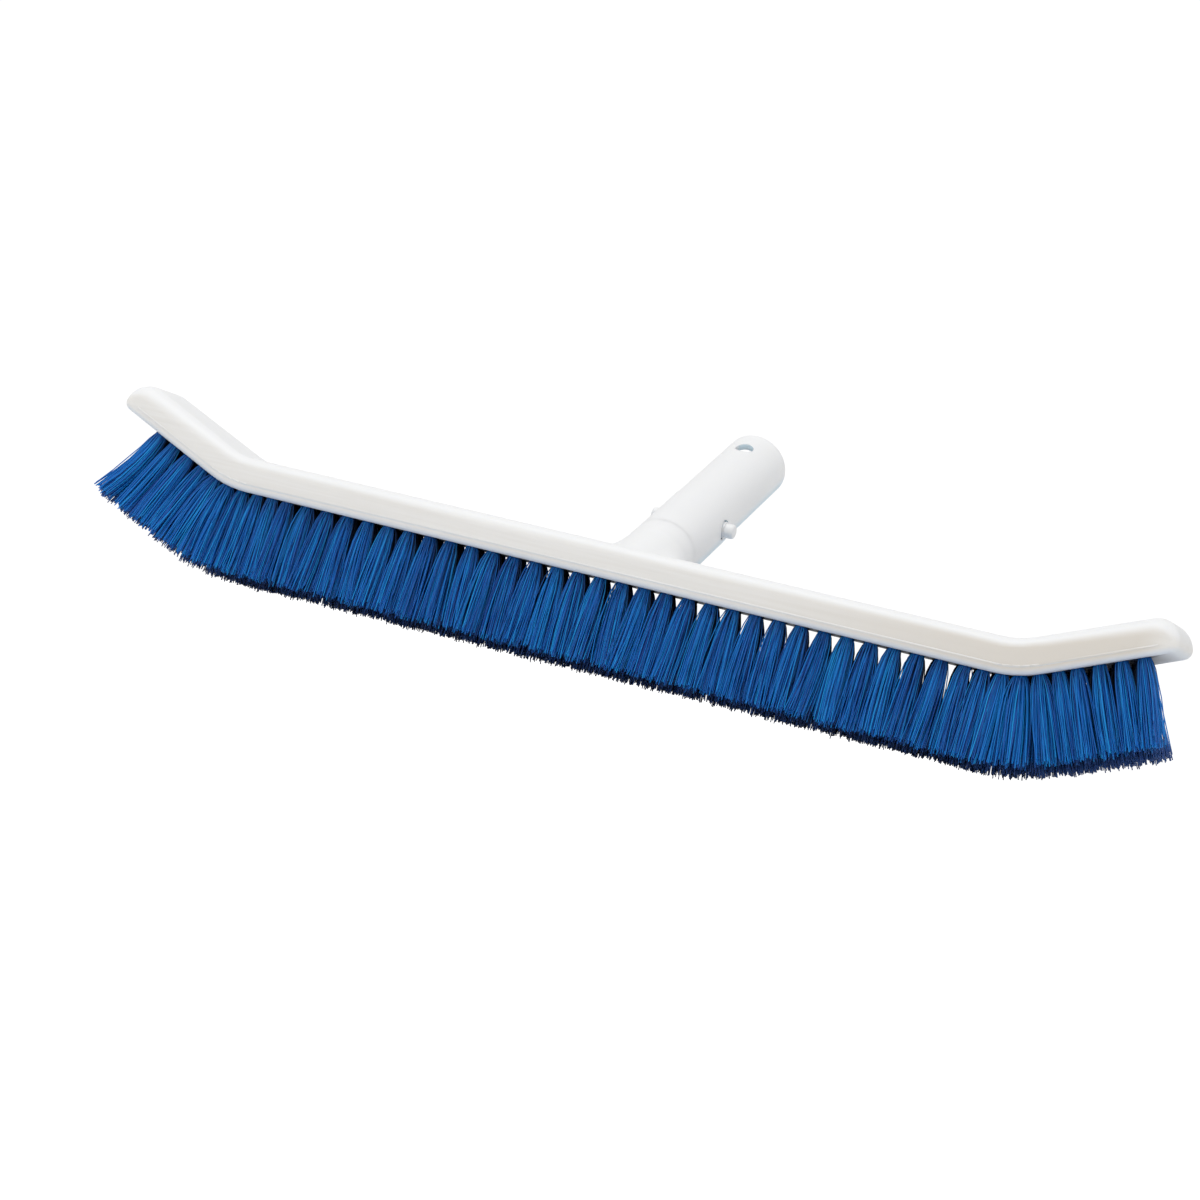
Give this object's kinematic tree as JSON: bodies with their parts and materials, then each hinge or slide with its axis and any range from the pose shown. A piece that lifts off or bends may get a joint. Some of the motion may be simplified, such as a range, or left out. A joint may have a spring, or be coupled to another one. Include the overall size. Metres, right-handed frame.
{
  "type": "pool wall brush",
  "caption": "Angled-end pool wall brush with a hollow pole stub, sprung lock buttons and rows of stiff blue nylon tufts.",
  "frame": {"origin": "middle of the scrubbing face, on the plane of the longest bristle tips", "axes": "+X along the brush, +Y towards the pole side, +Z from the bristle tips up to the back"},
  "size_m": [0.4652, 0.1608, 0.1194],
  "materials": {
    "moulding": "white moulded polypropylene, faint satin grain",
    "clip": "white moulded acetal, satin",
    "bristle": "blue nylon filament",
    "anchor": "drawn stainless flat wire"
  },
  "bodies": {
    "brush": {"brush_back": "moulding", "stub_neck": "moulding", "pole_stub": "moulding", "clip_bend": "clip", "tufts_front_outer_left_wing": "bristle", "tufts_front_outer_middle": "bristle", "tufts_front_outer_right_wing": "bristle", "tufts_front_inner_left_wing": "bristle", "tufts_front_inner_middle": "bristle", "tufts_front_inner_right_wing": "bristle", "tufts_rear_inner_left_wing": "bristle", "tufts_rear_inner_middle": "bristle", "tufts_rear_inner_right_wing": "bristle", "tufts_rear_outer_left_wing": "bristle", "tufts_rear_outer_middle": "bristle", "tufts_rear_outer_right_wing": "bristle", "anchors_front_outer_left_wing": "anchor", "anchors_front_outer_middle": "anchor", "anchors_front_outer_right_wing": "anchor", "anchors_front_inner_left_wing": "anchor", "anchors_front_inner_middle": "anchor", "anchors_front_inner_right_wing": "anchor", "anchors_rear_inner_left_wing": "anchor", "anchors_rear_inner_middle": "anchor", "anchors_rear_inner_right_wing": "anchor", "anchors_rear_outer_left_wing": "anchor", "anchors_rear_outer_middle": "anchor", "anchors_rear_outer_right_wing": "anchor"},
    "lock_arm_right": {"clip_arm_right": "clip"},
    "lock_arm_left": {"clip_arm_left": "clip"}
  },
  "joints": [
    {"name": "press_right_button", "type": "hinge", "parent": "brush", "child": "lock_arm_right", "pos_m": [0.0066, 0.0429, 0.05465], "axis": [0, -0.5, 0.866], "range_deg": [0, 7.2], "stiffness_Nm_per_rad": 2.5, "springref_deg": -2.86},
    {"name": "press_left_button", "type": "hinge", "parent": "brush", "child": "lock_arm_left", "pos_m": [-0.0066, 0.0429, 0.05465], "axis": [0, 0.5, -0.866], "range_deg": [0, 7.2], "stiffness_Nm_per_rad": 2.5, "springref_deg": -2.86}
  ]
}
